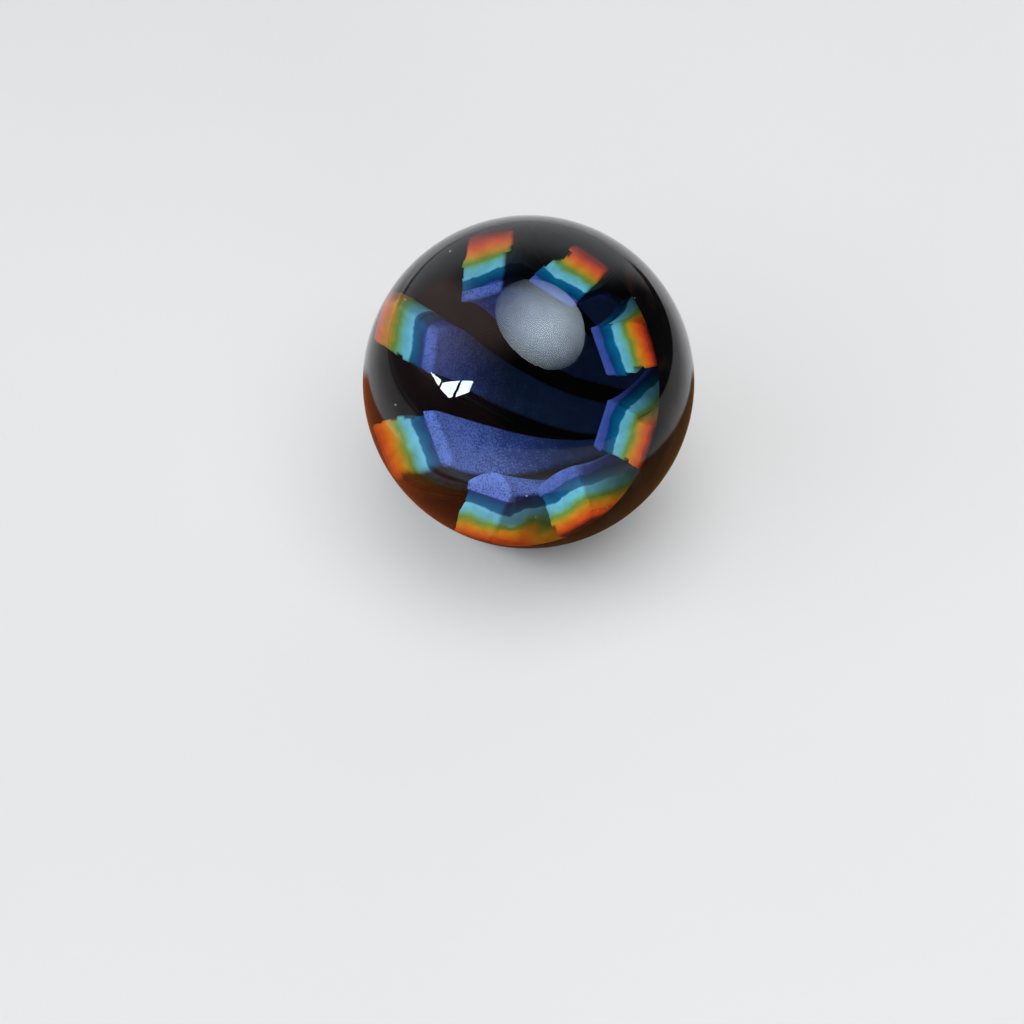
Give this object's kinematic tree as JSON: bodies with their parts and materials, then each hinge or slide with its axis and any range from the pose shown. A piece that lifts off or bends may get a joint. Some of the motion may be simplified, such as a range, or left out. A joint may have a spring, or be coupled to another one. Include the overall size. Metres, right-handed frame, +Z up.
{
  "type": "glass marble",
  "caption": "Solid glass ball with a clear front, a glossy black back and a ring of rainbow-striped bars that twist back to one point inside.",
  "frame": {"origin": "centre of the ball", "axes": "+Z is up as the ball sits in a stand, -Z points at the stand; the clear window faces forward (-Y), to the left (-X) and up"},
  "size_m": [0.042, 0.042, 0.042],
  "materials": {
    "clear": "gloss",
    "black": "gloss",
    "indigo": "gloss",
    "teal": "gloss",
    "sky": "gloss",
    "green": "gloss",
    "yellow": "gloss",
    "orange": "gloss",
    "red": "gloss"
  },
  "bodies": {
    "root": {"clear_glass": "clear", "black_glass": "black", "indigo_glass": "indigo", "teal_glass": "teal", "sky_glass": "sky", "green_glass": "green", "yellow_glass": "yellow", "orange_glass": "orange", "red_glass": "red"}
  },
  "joints": []
}
